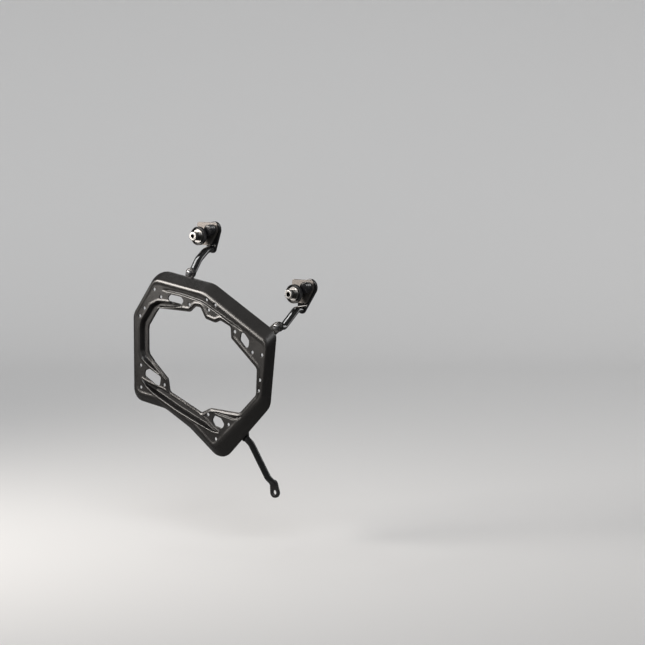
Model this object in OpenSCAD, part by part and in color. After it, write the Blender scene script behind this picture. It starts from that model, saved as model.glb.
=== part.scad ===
// Pannier frame, right-hand one: one pressed carrier ring, two bent arms with the upper
// fixings, and one strut. +X is forwards, +Y inboard and +Z up. The origin is on the front
// upper bolt's axis, at the inboard face of its arm's head plate.

/* [Carrier ring] */
// Thickness of the pressed sheet
sheet_t = 3; // [2.5:0.25:3.5]
// Depth from the ring's face back to the edge of its skirt
skirt_depth = 14; // [12:0.5:17]
// Diameter of the small fixing holes
hole_d = 6.4; // [5:0.1:7]
// Depth of the bead pressed down the rear side of the opening
channel_depth = 8; // [5:0.5:9]
// Depth of the long tapered bead along the lower side
spindle_depth = 7; // [4:0.5:9]
// Depth of the shallow bead along the top
rib_depth = 2.5; // [1.5:0.25:3]

/* [Placing] */
// Distance from the ring's face inboard to the arms' fixing faces
reach = 99; // [85:1:120]
// Distance from the front upper bolt forwards to the ring's centre, negative to the rear
ring_x = -165; // [-175:1:-155]
// Height of the ring's centre above the front upper bolt, negative below
ring_z = -130; // [-140:1:-125]
// How far the rear upper bolt lies behind the front one
bolt_span = 224; // [214:1:232]
// How far the rear upper bolt lies above the front one
bolt_rise = 94; // [88:1:100]

/* [Upper fixings] */
// Diameter of the bolt's long round head
barrel_d = 16; // [14:0.5:18]
// Length of the bolt's long round head
barrel_len = 14; // [10:0.5:18]
// Width across flats of the head's hexagon socket
socket_af = 8; // [6:1:9]
// Diameter of the bolt's shank
shank_d = 8; // [6:1:10]
// Length of the bolt's threaded end that stands free inboard
free_len = 24; // [15:1:35]
// Diameter of the collar under the head
collar_d = 24.5; // [20:0.5:28]
// Thickness of the collar under the head
collar_t = 3; // [2:0.5:5]
// Diameter of the cup that the collar sits in
cup_d = 34; // [31:0.5:38]
// Height of the cup's rim
cup_h = 6.5; // [5.5:0.25:8]
// Thickness of the cup's rim
cup_wall = 1.5; // [1:0.25:2]
// Thickness of the cup's floor
cup_floor = 3; // [2:0.5:4]
// Diameter of the sleeve between cup and link
sleeve_d = 14; // [12:0.5:15]
// Length of the sleeve between cup and link
sleeve_len = 16; // [15:0.5:22]
// Thickness of the link plate
link_t = 4; // [3:0.5:6]
// Radius of the link plate's corners
link_r = 4; // [2:0.5:6]

/* [Knobs] */
// Diameter over the knob's ribs
knob_d = 20; // [18:0.5:21]
// Length of the knob
knob_len = 14; // [10:0.5:15]
// Number of ribs round the knob
knob_ribs = 3; // [2:1:4]
// Depth of the grooves between the ribs
knob_groove = 1.6; // [1:0.2:2]
// Diameter of the knob's stud
stud_d = 8; // [6:1:8]

/* [Arms] */
// Width of the arm's bar, fore and aft
bar_w = 14; // [12:0.5:16]
// Height of the arm's bar
bar_h = 11; // [9:0.5:13]
// Thickness of the arm's head plate
head_t = 5; // [4:0.5:7]
// Radius of the head plate round its stud
head_r = 15; // [13:0.5:17]
// Thickness of the pad at the arm's foot
pad_t = 5; // [4:0.5:7]
// Thickness of the lugs welded to the ring
lug_t = 4; // [3:0.5:6]
// Radius of the lugs and pads round their screws
lug_r = 9; // [8:0.5:11]
// Diameter of the foot screws
foot_screw_d = 6; // [5:1:6]
// Length of the foot screws under the head
foot_screw_len = 14; // [12:1:15]

/* [Strut] */
// Diameter of the strut's round bar
strut_d = 12; // [10:0.5:14]
// Thickness of the strut's forged flat ends
eye_t = 5; // [4:0.5:6]
// Radius of the strut's forged flat ends
eye_r = 10; // [9:0.5:12]
// Diameter of the hole in the strut's lower end
strut_hole_d = 8.5; // [6.5:0.1:10.5]
// How far the strut's lower end lies below its upper end
strut_drop = 122; // [100:1:140]
// How far the strut's lower end lies inboard of its upper end
strut_inboard = 62; // [50:1:75]
// How far the strut's lower end lies in front of its upper end
strut_forward = 21; // [10:1:30]

/* [Hidden] */
$fn = 48;

// Fits
fit = 0.2;       // radial room of a shank in a plain hole
thread_fit = 0.05;
proud = 1;       // how far a cut starts in front of the face

// Colours
satin_black = [0.13, 0.125, 0.12];
gloss_black = [0.05, 0.05, 0.055];
nickel = [0.8, 0.8, 0.8];
bare_zinc = [0.72, 0.68, 0.63];
black_zinc = [0.1, 0.1, 0.1];
rubber_black = [0.04, 0.04, 0.04];

// Ring outlines, [x, z, corner radius] about the ring's centre, clockwise from the lower rear
face_edge = [[-153, -65, 16], [-153, 80, 20], [-106, 144, 14], [12, 126, 60], [158, 46, 16],
             [146, -50, 24], [36, -148, 12], [-12, -112, 50], [-100, -72, 50]];
skirt_edge = [[-170, -80, 24], [-170, 78, 26], [-106, 165, 50], [28, 145, 60], [172, 66, 18],
              [157, -67, 30], [45, -178, 34], [-33, -122, 60], [-92, -92, 50]];
opening_edge = [[-122, 8, 6], [-122, 60, 6], [-97, 94, 6], [-20, 92, 5], [-7, 102.5, 5],
                [5, 102, 5], [17, 82, 8], [40, 76, 8], [52, 81, 6], [76, 71, 6], [77, 51, 5],
                [136, 1, 10], [134, -46, 10], [96, -82, 14], [28, -79, 10], [6, -89, 8],
                [-70, -57, 8], [-74, -34, 8]];

// Slots for the case's turn locks
slots = [[[-75, 114, 5], [-66, 121, 5], [-41, 118, 5], [-33, 111, 5], [-42, 103, 5], [-66, 105, 5]],
         [[101, 64, 4], [109, 61, 5], [119, 50, 5], [118, 38, 5], [111, 36, 4], [98, 49, 5]],
         [[-130, -23, 5], [-119, -19, 5], [-91, -32, 5], [-94, -48, 5], [-101, -49, 5], [-131, -33, 5]],
         [[32, -101, 5], [37, -91, 5], [53, -95, 5], [61, -106, 5], [55, -114, 5], [38, -110, 5]]];

// Small fixing holes, [x, z]
holes = [[-106, 128], [-90, 115], [-131, 92], [-142, 77], [-21, 105], [20, 116], [25, 98],
         [41, 108], [86, 63], [126, 29], [148, 26], [143, -19], [140, -38], [-141, -14],
         [-141, -55], [-83, -46], [22, -91], [70, -105], [40, -134]];

// Pressed beads, [x, z, half width] at each station along the middle
channel = [[-42, 102, 1], [-62, 101.5, 5], [-96, 100, 7], [-110, 92, 8.5], [-131, 64, 9],
           [-133, 54, 9], [-133, 14, 9], [-130, 4, 8.5], [-116, -9, 6], [-96, -25, 1]];
spindle = [[-137, -40, 0.8], [-126, -48, 4], [-108, -56, 7.5], [-88, -63.5, 9.5],
           [-46, -81.5, 10.5], [-10, -96, 9.5], [12, -106, 7.5], [32, -117, 3.5], [46, -121, 0.8]];
top_rib = [[-84, 128, 0.8], [-70, 127.5, 3], [-38, 124, 3.5], [6, 113, 3.5], [24, 101, 3.5],
           [70, 84, 3.5], [92, 73, 3], [104, 66, 0.8]];
corner_rib = [[38, -85.5, 0.8], [48, -87, 2.5], [80, -93, 3], [92, -91, 2.5], [100, -87, 0.8]];

// Places of the ring's depths
face_y = -reach;
edge_y = face_y + skirt_depth;
pad_y = edge_y + lug_t;
arm_y = pad_y + pad_t;

// Upper bolt stack, from the arm's head plate outwards
head_y = -head_t;
link_y = head_y - link_t;
sleeve_y = link_y - sleeve_len;
cup_y = sleeve_y - cup_floor;
collar_y = cup_y - collar_t;

// Places in the ring's own frame, [x, z]
rear_foot = [-32, 161];
front_foot = [171, 76];
strut_top = [90, -113];

// Places beside each upper bolt, [x, z]
knob_at = [17, 11];
rear_bar_at = [12, -24];
front_bar_at = [-2, -29];
link_outline = [[-20, -18, link_r], [12, -18, link_r], [28, 8, link_r], [28, 24, link_r],
                [-20, 24, link_r]];

// Washers, nuts and screw heads
washer_t = 1.6;
stud_washer_d = 17;
foot_washer_d = 13;
nut_h = 6.5;
nut_af = 13;
button_d = 11;
button_h = 3.2;
button_af = 4;
button_top = 0.6;     // the head's flat top, as a share of its diameter
button_floor = 1;     // what is left under the head's socket
small_nut_af = 10;
small_nut_h = 5;

// Point on a rounded closed outline: each corner becomes an arc of arc_steps pieces
arc_steps = 5;
function unit(v) = v / norm(v);
function flat(c) = [c[0], c[1]];
function turn(u, v) = u[0] * v[1] - u[1] * v[0];
function corner_arc(a, b, c) =
    let (u = unit(flat(a) - flat(b)), v = unit(flat(c) - flat(b)),
         half = acos(max(-1, min(1, u * v))) / 2,
         middle = flat(b) + unit(u + v) * b[2] / sin(half),
         side = turn(u, v) > 0 ? 1 : -1,
         toward = atan2(-(u + v)[1], -(u + v)[0]))
    [for (i = [0 : arc_steps])
        let (angle = toward + side * (90 - half) * (1 - 2 * i / arc_steps))
        middle + b[2] * [cos(angle), sin(angle)]];
function rounded(corners) =
    let (n = len(corners))
    [for (k = [0 : n - 1])
        each corner_arc(corners[(k + n - 1) % n], corners[k], corners[(k + 1) % n])];
function rounded_path(corners) =
    let (n = len(corners))
    [flat(corners[0]),
     for (k = [1 : n - 2]) each corner_arc(corners[k - 1], corners[k], corners[k + 1]),
     flat(corners[n - 1])];

// Direction along a path at point k, and the path moved sideways
function along(path, k) = unit(flat(path[min(k + 1, len(path) - 1)]) - flat(path[max(k - 1, 0)]));
function sideways(path, k, by) = let (d = along(path, k)) flat(path[k]) + by * [-d[1], d[0]];

// Solid through a stack of sections with the same number of points
module loft(sections, ring = false) {
    m = len(sections);
    n = len(sections[0]);
    last = ring ? m - 1 : m - 2;
    points = [for (s = sections) each s];
    walls = [for (i = [0 : last], j = [0 : n - 1])
        let (a = i * n + j, b = i * n + (j + 1) % n,
             c = ((i + 1) % m) * n + (j + 1) % n, d = ((i + 1) % m) * n + j)
        each [[a, c, b], [a, d, c]]];
    caps = ring ? [] : [[for (j = [0 : n - 1]) j], [for (j = [n - 1 : -1 : 0]) (m - 1) * n + j]];
    polyhedron(points, concat(walls, caps), convexity = 10);
}

// Drawn in x and z, then stood up so that it grows inboard from y = 0
module upright() rotate([90, 0, 0]) mirror([0, 0, 1]) children();

// Rod along y
module rod(d, y0, y1) translate([0, y0, 0]) upright() cylinder(d = d, h = y1 - y0);

// Hexagon along y
module hexagon(af, y0, y1)
    translate([0, y0, 0]) upright() cylinder(d = af / cos(30), h = y1 - y0, $fn = 6);

module plate(outline, y0, y1)
    translate([0, y0, 0]) upright() linear_extrude(y1 - y0) polygon(outline);

// Flat plate round circles [x, z, r], with straight tangents between them
function circle_at(p, r) = [p[0], p[1], r];
function farthest(circles, way) =
    let (reaches = [for (c = circles) flat(c) * way + c[2]])
    [for (k = [0 : len(circles) - 1]) if (reaches[k] == max(reaches)) circles[k]][0];
module round_plate(circles, y0, y1)
    plate([for (angle = [0 : 7.5 : 359])
        let (way = [cos(angle), sin(angle)], c = farthest(circles, way)) flat(c) + c[2] * way], y0, y1);

module at_ring(p = [0, 0]) translate([ring_x + p[0], 0, ring_z + p[1]]) children();
module at_rear() translate([-bolt_span, 0, bolt_rise]) children();
module at_knob() translate([knob_at[0], 0, knob_at[1]]) children();

// Rim of the ring: the sheet rolls over from the face into a flared skirt. A share of 0 is on
// the face's edge, 1 on the skirt's edge, and below 0 in the flat of the face.
face_points = rounded(face_edge);
skirt_points = rounded(skirt_edge);
roll_share = 0.3;
flat_share = -0.3;
mean_flare = 19;
front_shares = [flat_share, 0, 0.1, 0.2, roll_share, 1];
function rim_slope(share) =
    share <= 0 ? 0 : min(share, roll_share) / roll_share / (1 - roll_share / 2);
function rim_depth(share) =
    share <= 0 ? 0 : skirt_depth * rim_slope(share)
        * (share < roll_share ? share / 2 : share - roll_share / 2);
function rim_angle(share) = atan(skirt_depth * rim_slope(share) / mean_flare);
function rim_ring(share, depth) =
    [for (k = [0 : len(face_points) - 1])
        let (p = face_points[k] + (skirt_points[k] - face_points[k]) * share)
        [p[0], face_y + depth, p[1]]];
function rim_back(share) =
    let (a = rim_angle(share))
    share == 1 ? rim_ring(1 - sheet_t / sin(a) / mean_flare, skirt_depth)
        : rim_ring(share - sheet_t * sin(a) / mean_flare, rim_depth(share) + sheet_t * cos(a));
module rim()
    loft([for (s = front_shares) rim_ring(s, rim_depth(s)),
          for (k = [len(front_shares) - 1 : -1 : 0]) rim_back(front_shares[k])], ring = true);

// Pressed bead: a rounded trough whose width follows the stations, deepest where it is widest
bead_steps = 6;
function bead_section(path, k, grow, top, depth, widest) =
    let (half = path[k][2] + grow, deep = depth * min(1, path[k][2] / widest * 1.4))
    [for (i = [0 : bead_steps])
        let (a = 180 * i / bead_steps, p = sideways(path, k, -half * cos(a)))
        [p[0], face_y + (i == 0 || i == bead_steps ? top : top + (deep - top) * pow(sin(a), 0.7)), p[1]]];
module bead(path, grow, top, depth) {
    widest = max([for (s = path) s[2]]);
    loft([for (k = [0 : len(path) - 1]) bead_section(path, k, grow, top, depth, widest)]);
}

beads = [[channel, channel_depth], [spindle, spindle_depth], [top_rib, rib_depth],
         [corner_rib, rib_depth]];
wall_grow = 2.2;  // how much wider a bead is at its back than at its front

module carrier_plate() color(satin_black) at_ring() difference() {
    union() {
        plate([for (k = [0 : len(face_points) - 1])
            face_points[k] + (skirt_points[k] - face_points[k]) * flat_share / 3],
            face_y, face_y + sheet_t);
        rim();
        for (b = beads) bead(b[0], wall_grow, sheet_t / 2, b[1] + sheet_t);
    }
    plate(rounded(opening_edge), face_y - proud, edge_y);
    for (b = beads) bead(b[0], 0, -proud / 2, b[1]);
    for (s = slots) plate(rounded(s), face_y - proud, edge_y);
    for (h = holes) translate([h[0], 0, h[1]]) rod(hole_d, face_y - proud, edge_y);
}

// Lug welded to the back edge of the skirt: it runs from its screw across that edge
arm_lug_len = 20;
strut_lug_len = 5;
module lug(at, toward, length) at_ring() difference() {
    round_plate([circle_at(at, lug_r), circle_at(at + length * unit(toward), lug_r)], edge_y, pad_y);
    translate([at[0], 0, at[1]]) rod(foot_screw_d + 2 * fit, edge_y - proud, pad_y + proud);
}
module rear_lug() color(satin_black) lug(rear_foot, [-0.15, -1], arm_lug_len);
module front_lug() color(satin_black) lug(front_foot, [-1, -0.75], arm_lug_len);
module strut_lug() color(satin_black) lug(strut_top, [1, -1], strut_lug_len);

// Arm: a foot pad, a bar bent in its own upright plane, and a head plate round stud and bolt
bolt_r = 12;
function bar_outline(path) = concat(
    [for (k = [0 : len(path) - 1]) sideways(path, k, bar_h / 2)],
    [for (k = [len(path) - 1 : -1 : 0]) sideways(path, k, -bar_h / 2)]);
module arm(foot, head, bolt, bends) {
    knob = bolt + knob_at;
    run = norm([head[0] - foot[0], head_y - arm_y]);
    rise = head[1] - foot[1];
    swing = atan2(head_y - arm_y, head[0] - foot[0]);
    path = rounded_path([[-pad_t / 2, 0], for (b = bends) [b[0] * run, b[1] * rise, b[2]],
                         [run + head_t / 2, rise]]);
    difference() {
        union() {
            translate([foot[0], 0, foot[1]]) rod(2 * lug_r, pad_y, arm_y);
            translate([foot[0], arm_y, foot[1]]) rotate([0, 0, swing]) rotate([90, 0, 0])
                linear_extrude(bar_w, center = true) polygon(bar_outline(path));
            round_plate([circle_at(knob, head_r), circle_at(bolt, bolt_r),
                circle_at(head, bar_w / 2 + 1.5)], head_y, 0);
        }
        translate([foot[0], 0, foot[1]]) rod(foot_screw_d + 2 * thread_fit, pad_y - proud,
            edge_y - washer_t + foot_screw_len + proud);
        translate([knob[0], 0, knob[1]]) rod(stud_d + 2 * fit, head_y - proud, proud);
        translate([bolt[0], 0, bolt[1]]) rod(shank_d + 2 * fit, head_y - proud, proud);
        translate([foot[0] - bolt_span, pad_y - bolt_span, foot[1] - bolt_span])
            cube([2 * bolt_span, bolt_span, 2 * bolt_span]);
        translate([head[0] - bolt_span, 0, head[1] - bolt_span])
            cube([2 * bolt_span, bolt_span, 2 * bolt_span]);
    }
}
rear_bolt_at = [-bolt_span, bolt_rise];
ring_at = [ring_x, ring_z];
module rear_arm() color(gloss_black)
    arm(ring_at + rear_foot, rear_bolt_at + rear_bar_at, rear_bolt_at,
        [[0.03, 0.08, 8], [0.3, 0.57, 40], [0.7, 0.95, 40]]);
module front_arm() color(gloss_black)
    arm(ring_at + front_foot, front_bar_at, [0, 0], [[0.16, -0.06, 10], [0.76, 1, 14]]);

// Button-headed screw along y, its head's top at y = 0 minus the head's height
module button_screw(d, len) {
    difference() {
        upright() mirror([0, 0, 1])
            cylinder(d1 = button_d, d2 = button_d * button_top, h = button_h);
        hexagon(button_af, -button_h - proud, -button_floor);
    }
    rod(d, 0, len);
}
module washer(outer, inner, y0, y1) difference() {
    rod(outer, y0, y1);
    rod(inner, y0 - proud, y1 + proud);
}
module foot_screws() color(black_zinc) for (p = [rear_foot, front_foot])
    at_ring(p) translate([0, edge_y - washer_t, 0]) button_screw(foot_screw_d, foot_screw_len);
module foot_washers() color(black_zinc) for (p = [rear_foot, front_foot])
    at_ring(p) washer(foot_washer_d, foot_screw_d + 2 * fit, edge_y - washer_t, edge_y);

// Upper bolt: long round head with a hexagon socket, shank and free threaded end
edge_break = 0.8;
socket_depth = 7;
relief_len = 2;   // the thread runs out into a groove inside the head plate
relief_depth = 0.6;
module upper_bolt() color(nickel) difference() {
    union() {
        translate([0, collar_y - barrel_len, 0]) upright() {
            cylinder(d1 = barrel_d - 2 * edge_break, d2 = barrel_d, h = edge_break);
            translate([0, 0, edge_break]) cylinder(d = barrel_d, h = barrel_len - edge_break);
        }
        rod(shank_d, collar_y - proud, -relief_len);
        rod(shank_d - 2 * relief_depth, -relief_len - proud, proud);
        rod(shank_d, 0, free_len - edge_break);
        translate([0, free_len - edge_break, 0]) upright()
            cylinder(d1 = shank_d, d2 = shank_d - 2 * edge_break, h = edge_break);
    }
    hexagon(socket_af, collar_y - barrel_len - proud, collar_y - barrel_len + socket_depth);
}
module rear_bolt() at_rear() upper_bolt();
module front_bolt() upper_bolt();

module collar() color(nickel) washer(collar_d, shank_d + 2 * fit, collar_y, cup_y);
module rear_collar() at_rear() collar();
module front_collar() collar();

module cup() color(rubber_black) difference() {
    rod(cup_d, sleeve_y - cup_h, sleeve_y);
    rod(cup_d - 2 * cup_wall, sleeve_y - cup_h - proud, cup_y);
    rod(shank_d + 2 * fit, cup_y - proud, sleeve_y + proud);
}
module rear_cup() at_rear() cup();
module front_cup() cup();

module sleeve() color(gloss_black) washer(sleeve_d, shank_d + 2 * fit, sleeve_y, link_y);
module rear_sleeve() at_rear() sleeve();
module front_sleeve() sleeve();

module link() color(bare_zinc) difference() {
    plate(rounded(link_outline), link_y, head_y);
    rod(shank_d + 2 * fit, link_y - proud, head_y + proud);
    at_knob() rod(stud_d + 2 * fit, link_y - proud, head_y + proud);
}
module rear_link() at_rear() link();
module front_link() link();

// Knob: grooves between ribs round it, a domed outer face, and the stud's blind thread
rib_share = 0.6;
stud_in = 9;
knob_pitch = knob_len / knob_ribs;
module knob() color(rubber_black) at_knob() translate([0, link_y, 0]) upright() mirror([0, 0, 1])
    difference() {
        rotate_extrude() polygon(concat([[0, 0]],
            [for (k = [0 : knob_ribs - 1]) each [
                [knob_d / 2 - knob_groove, k * knob_pitch],
                [knob_d / 2 - knob_groove, (k + 1 - rib_share) * knob_pitch],
                [knob_d / 2, (k + 1.2 - rib_share) * knob_pitch],
                [knob_d / 2, (k + 0.9) * knob_pitch],
                [knob_d / 2 - knob_groove / 2, (k + 1) * knob_pitch]]],
            [[knob_d / 2 - 2 * knob_groove, knob_len], [0, knob_len]]));
        translate([0, 0, -proud]) cylinder(d = stud_d + 2 * thread_fit, h = stud_in + proud + 0.5);
    }
module rear_knob() at_rear() knob();
module front_knob() knob();

stud_end = washer_t + nut_h + 3;
module stud() color(nickel) at_knob() rod(stud_d, link_y - stud_in, stud_end);
module rear_stud() at_rear() stud();
module front_stud() stud();

module stud_washers() color(nickel) {
    at_rear() at_knob() washer(stud_washer_d, stud_d + 2 * fit, 0, washer_t);
    at_knob() washer(stud_washer_d, stud_d + 2 * fit, 0, washer_t);
}
module hex_nut(af, bore, y0, y1) difference() {
    hexagon(af, y0, y1);
    rod(bore, y0 - proud, y1 + proud);
}
module stud_nuts() color(nickel) {
    at_rear() at_knob() hex_nut(nut_af, stud_d + 2 * thread_fit, washer_t, washer_t + nut_h);
    at_knob() hex_nut(nut_af, stud_d + 2 * thread_fit, washer_t, washer_t + nut_h);
}

// Strut: a round bar, forged at both ends into a flat neck and an eye
strut_bottom = strut_top + [strut_forward, -strut_drop];
bar_from = [strut_top[0], pad_y + eye_t / 2, strut_top[1]];
bar_to = [strut_bottom[0], pad_y + eye_t / 2 + strut_inboard, strut_bottom[1]];
neck_r = 0.8 * eye_r;
neck_at = eye_r + 5;    // from the eye's centre to the middle of its flat neck
round_at = 35;          // from the eye's centre to where the bar is round
forge_step = 0.2;       // height of the fine step where the forging begins
module rod_at(p) translate([p[0], 0, p[1]]) children();
module bar_along(d, from, to) {
    way = to - from;
    translate(from) rotate([0, acos(way[2] / norm(way)), atan2(way[1], way[0])])
        cylinder(d = d, h = norm(way));
}
module strut_end(p, way) {
    flat_way = unit([way[0], way[2]]);
    start = p + unit(way) * round_at;
    round_plate([[p[0], p[2], eye_r], circle_at([p[0], p[2]] + flat_way * neck_at, neck_r)],
        p[1] - eye_t / 2, p[1] + eye_t / 2);
    hull($fn = 32) {
        rod_at([p[0], p[2]] + flat_way * neck_at)
            rod(2 * neck_r, p[1] - eye_t / 2, p[1] + eye_t / 2);
        bar_along(strut_d - 2 * forge_step, start, start + unit(way));
    }
}
module strut() color(gloss_black) at_ring() difference() {
    union() {
        strut_end(bar_from, bar_to - bar_from);
        strut_end(bar_to, bar_from - bar_to);
        bar_along(strut_d, bar_from + unit(bar_to - bar_from) * round_at,
            bar_to + unit(bar_from - bar_to) * round_at);
    }
    rod_at(strut_top) rod(foot_screw_d + 2 * fit, pad_y - proud, pad_y + eye_t + proud);
    rod_at(strut_bottom) rod(strut_hole_d, bar_to[1] - eye_t, bar_to[1] + eye_t);
}

strut_screw_len = lug_t + eye_t + washer_t + small_nut_h + 3;
module strut_screw() color(black_zinc) at_ring(strut_top)
    translate([0, edge_y, 0]) button_screw(foot_screw_d, strut_screw_len);
module strut_washer() color(black_zinc) at_ring(strut_top)
    washer(foot_washer_d, foot_screw_d + 2 * fit, pad_y + eye_t, pad_y + eye_t + washer_t);
module strut_nut() color(black_zinc) at_ring(strut_top)
    hex_nut(small_nut_af, foot_screw_d + 2 * thread_fit, pad_y + eye_t + washer_t,
        pad_y + eye_t + washer_t + small_nut_h);

carrier_plate();
rear_lug();
front_lug();
strut_lug();
rear_arm();
front_arm();
foot_screws();
foot_washers();
rear_bolt();
front_bolt();
rear_collar();
front_collar();
rear_cup();
front_cup();
rear_sleeve();
front_sleeve();
rear_link();
front_link();
rear_knob();
front_knob();
rear_stud();
front_stud();
stud_washers();
stud_nuts();
strut();
strut_screw();
strut_washer();
strut_nut();
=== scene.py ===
import math
import bpy
import bmesh
import numpy as np
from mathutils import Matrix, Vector, kdtree
from mathutils.geometry import delaunay_2d_cdt


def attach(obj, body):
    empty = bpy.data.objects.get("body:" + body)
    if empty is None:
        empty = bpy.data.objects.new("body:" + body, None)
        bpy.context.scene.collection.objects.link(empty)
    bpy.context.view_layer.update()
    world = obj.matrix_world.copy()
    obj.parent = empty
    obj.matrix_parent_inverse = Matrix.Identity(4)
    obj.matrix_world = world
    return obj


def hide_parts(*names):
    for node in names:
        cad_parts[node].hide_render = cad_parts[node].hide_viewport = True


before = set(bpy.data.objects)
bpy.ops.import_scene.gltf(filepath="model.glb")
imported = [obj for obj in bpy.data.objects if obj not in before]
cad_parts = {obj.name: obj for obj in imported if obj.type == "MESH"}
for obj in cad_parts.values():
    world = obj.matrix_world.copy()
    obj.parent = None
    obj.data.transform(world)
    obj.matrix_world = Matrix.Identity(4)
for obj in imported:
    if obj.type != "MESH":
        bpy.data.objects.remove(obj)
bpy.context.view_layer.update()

# Pannier frame, right-hand one. +X is forwards, +Y inboard, +Z up, origin on the front upper
# bolt's axis. Sizes are in millimetres and go to metres when a mesh is made.
mm = 0.001
scene = bpy.context.scene
scene.view_settings.view_transform = "Standard"

places = {
    "ring": (-165, -130),  # the ring's centre, x and z
    "ringFace": -99,  # y of the ring's outer face
    "skirtEdge": -85,  # y of the back edge of its skirt
    "frontBolt": (0, 0),
    "rearBolt": (-224, 94),
    "knobFromBolt": (17, 11),
    "headFace": -5,  # y of the arms' head plates, outer face
    "linkFace": -9,  # y of the link plates, outer face
    "rearFoot": (-32, 161),  # feet and strut are placed in the ring's own x and z
    "frontFoot": (171, 76),
    "strutTop": (90, -113),
    "strutFoot": (111, -235),
}


# Outlines

def unit(v):
    v = np.asarray(v, float)
    return v / np.linalg.norm(v)


def cornerArc(before, corner, after, radius, steps):
    u, v = unit(np.subtract(before, corner)), unit(np.subtract(after, corner))
    half = math.acos(np.clip(u @ v, -1, 1)) / 2
    middle = np.asarray(corner, float) + unit(u + v) * radius / math.sin(half)
    side = 1 if u[0] * v[1] - u[1] * v[0] > 0 else -1
    toward = math.atan2(-(u + v)[1], -(u + v)[0])
    angles = [toward + side * (math.pi / 2 - half) * (1 - 2 * i / steps) for i in range(steps + 1)]
    return [middle + radius * np.array([math.cos(a), math.sin(a)]) for a in angles]


def rounded(corners, steps=12):
    out = []
    for a, b, c in zip(corners[-1:] + corners[:-1], corners, corners[1:] + corners[:1]):
        out += cornerArc(a[:2], b[:2], c[:2], b[2], steps)
    return np.array(out)


def roundedPath(corners, steps=14):
    out = [np.array(corners[0][:2], float)]
    for a, b, c in zip(corners, corners[1:], corners[2:]):
        out += cornerArc(a[:2], b[:2], c[:2], b[2], steps)
    return np.array(out + [np.array(corners[-1][:2], float)])


def resampled(loop, spacing, closed=True):  # points at even distances along it
    pts = np.vstack([loop, loop[:1]]) if closed else np.asarray(loop, float)
    run = np.concatenate([[0], np.cumsum(np.linalg.norm(np.diff(pts, axis=0), axis=1))])
    count = max(6, int(round(run[-1] / spacing)))
    at = np.linspace(0, run[-1], count, endpoint=False) if closed else np.linspace(0, run[-1], count + 1)
    return np.column_stack([np.interp(at, run, pts[:, i]) for i in range(pts.shape[1])])


def roundAngles(count):
    return np.linspace(0, 2 * math.pi, count, endpoint=False)


def circle(centre, radius, count=40):
    a = roundAngles(count)
    return np.column_stack([centre[0] + radius * np.cos(a), centre[1] + radius * np.sin(a)])


def hexagon(centre, acrossFlats):
    return circle(centre, acrossFlats / 2 / math.cos(math.pi / 6), 6)


def roundHull(circles, step=5):  # outline drawn tight round circles of x, z and radius
    out = []
    for a in np.radians(np.arange(0, 360, step)):
        way = np.array([math.cos(a), math.sin(a)])
        x, z, r = max(circles, key=lambda c: np.dot(c[:2], way) + c[2])
        out.append([x + r * way[0], z + r * way[1]])
    return np.array(out)


def sidewaysOf(loop, closed=True):  # unit normals, to the left of the way along
    d = np.roll(loop, -1, axis=0) - np.roll(loop, 1, axis=0) if closed else np.gradient(loop, axis=0)
    d /= np.linalg.norm(d, axis=1)[:, None] + 1e-12
    return np.column_stack([-d[:, 1], d[:, 0]])


def area(loop):
    x, z = loop[:, 0], loop[:, 1]
    return 0.5 * np.sum(x * np.roll(z, -1) - np.roll(x, -1) * z)


def counterclockwise(loop):
    return loop if area(loop) > 0 else loop[::-1]


def inside(points, loop):
    x, z = points[:, 0], points[:, 1]
    hit = np.zeros(len(points), bool)
    for (x0, z0), (x1, z1) in zip(loop, np.roll(loop, -1, axis=0)):
        if z0 == z1:
            continue
        crosses = (z0 > z) != (z1 > z)
        hit ^= crosses & (x < (x1 - x0) * (z - z0) / (z1 - z0) + x0)
    return hit


def nearest(points, samples):  # the sample nearest to each point, and the distance to it
    tree = kdtree.KDTree(len(samples))
    for i, (x, z) in enumerate(samples):
        tree.insert((x, z, 0), i)
    tree.balance()
    found = [tree.find((x, z, 0)) for x, z in points]
    return np.array([f[0][:2] for f in found]), np.array([f[2] for f in found])


def triangles(points, loops):  # flat triangles inside the first loop and outside the others
    edges = [(loop[i], loop[(i + 1) % len(loop)]) for loop in loops for i in range(len(loop))]
    _, _, faces, origins, _, _ = delaunay_2d_cdt([Vector(p) for p in points], edges, [], 0, 1e-5)
    back = {i: o[0] for i, o in enumerate(origins) if o}
    faces = np.array([[back[i] for i in f] for f in faces if all(i in back for i in f)])
    centres = points[faces].mean(axis=1)
    keep = inside(centres, points[loops[0]])
    for loop in loops[1:]:
        keep &= ~inside(centres, points[loop])
    return faces[keep]


# Meshes: a shape is a pair of points and faces in millimetres

def merged(*shapes):
    points, faces = [], []
    for p, f in shapes:
        start = sum(len(q) for q in points)
        points.append(np.asarray(p, float))
        faces += [[i + start for i in face] for face in f]
    return np.vstack(points), faces


def bands(rows, n, start=0):  # four-sided faces between rows of n points
    return [[start + i * n + j, start + i * n + (j + 1) % n, start + (i + 1) * n + (j + 1) % n,
             start + (i + 1) * n + j] for i in range(rows - 1) for j in range(n)]


def lathe(profile, centre, segments=72):  # profile of [radius, y], turned about the y direction
    angles = roundAngles(segments)
    points, rows = [], []
    for r, y in profile:
        if r < 1e-6:
            rows.append([len(points)])
            points.append([centre[0], y, centre[1]])
        else:
            rows.append(list(range(len(points), len(points) + segments)))
            points += [[centre[0] + r * math.cos(a), y, centre[1] + r * math.sin(a)] for a in angles]
    faces = []
    for a, b in zip(rows, rows[1:]):
        for j in range(segments):
            k = (j + 1) % segments
            corners = a[j % len(a)], a[k % len(a)], b[k % len(b)], b[j % len(b)]
            faces.append(list(dict.fromkeys(corners)))  # a row on the axis is one point
    return np.array(points), faces


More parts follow.
